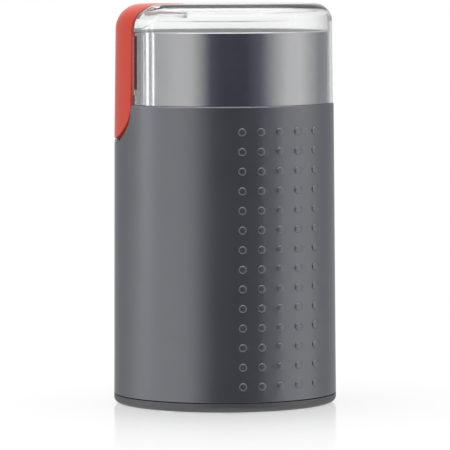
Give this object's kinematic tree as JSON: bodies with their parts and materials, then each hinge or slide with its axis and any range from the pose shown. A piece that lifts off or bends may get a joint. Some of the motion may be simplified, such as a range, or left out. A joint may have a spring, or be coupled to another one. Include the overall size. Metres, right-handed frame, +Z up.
{
  "type": "electric coffee grinder",
  "caption": "Upright round electric blade coffee grinder with a clear cap lid over a polished steel bowl, a coloured press bar on one side and raised grip dots.",
  "frame": {"origin": "centre of the body on the floor plane, under the rubber feet", "axes": "+Z up along the motor axis, -Y towards the front with the grip dots, -X towards the press bar"},
  "size_m": [0.088, 0.0884, 0.158],
  "materials": {
    "body_plastic": "satin moulded plastic, dark grey",
    "base_plastic": "satin moulded plastic, dark grey",
    "rubber": "matt black rubber",
    "polished_steel": "polished stainless sheet",
    "blade_steel": "ground stainless steel",
    "plated_steel": "zinc-plated steel",
    "frame_nylon": "natural glass-filled nylon",
    "lamination_steel": "varnished lamination stack",
    "copper_winding": "enamelled copper wire",
    "bearing_bronze": "sintered bronze",
    "contact_brass": "plain brass and copper",
    "carbon": "pressed carbon",
    "switch_plastic": "black moulded plastic",
    "clear_plastic": "clear transparent plastic",
    "press_plastic": "satin orange-red moulded plastic"
  },
  "bodies": {
    "housing": {"body_shell": "body_plastic", "cord_gland": "rubber", "base_plate": "base_plastic", "base_screws": "plated_steel", "rubber_feet": "rubber", "grinding_bowl": "polished_steel", "bowl_nut": "plated_steel", "shaft_seal": "rubber", "upper_frame": "frame_nylon", "lower_frame": "frame_nylon", "upper_bearing": "bearing_bronze", "lower_bearing": "bearing_bronze", "stator_core": "lamination_steel", "field_coils": "copper_winding", "frame_bolts": "plated_steel", "frame_nuts": "plated_steel", "motor_grommets": "rubber", "motor_screws": "plated_steel", "brush_holders": "contact_brass", "carbon_brushes": "carbon", "brush_springs": "plated_steel", "switch_case": "switch_plastic", "switch_terminals": "contact_brass", "switch_bracket": "plated_steel", "bracket_screws": "plated_steel", "return_spring": "plated_steel"},
    "rotor": {"motor_shaft": "blade_steel", "thrust_washer": "blade_steel", "armature_core": "lamination_steel", "armature_windings": "copper_winding", "commutator": "contact_brass", "cooling_fan": "frame_nylon", "blade": "blade_steel", "blade_cap_nut": "plated_steel"},
    "lid": {"lid": "clear_plastic"},
    "press_bar": {"press_bar": "press_plastic"},
    "switch_slide": {"switch_slider": "switch_plastic", "switch_button": "switch_plastic"}
  },
  "joints": [
    {"name": "lid_lift", "type": "slide", "parent": "housing", "child": "lid", "axis": [0, 0, 1], "range_m": [0, 0.06]},
    {"name": "bar_press", "type": "slide", "parent": "lid", "child": "press_bar", "axis": [0, 0, -1], "range_m": [0, 0.002], "stiffness_N_per_m": 800, "springref_m": -0.0015},
    {"name": "slider_press", "type": "slide", "parent": "housing", "child": "switch_slide", "axis": [0, 0, -1], "range_m": [0, 0.002], "deforming": ["return_spring"]},
    {"name": "rotor_spin", "type": "hinge", "parent": "housing", "child": "rotor", "pos_m": [0, 0, 0.062], "axis": [0, 0, 1], "continuous": true}
  ],
  "couplings": [
    {"joint": "slider_press", "follows": "bar_press", "ratio": 1}
  ]
}
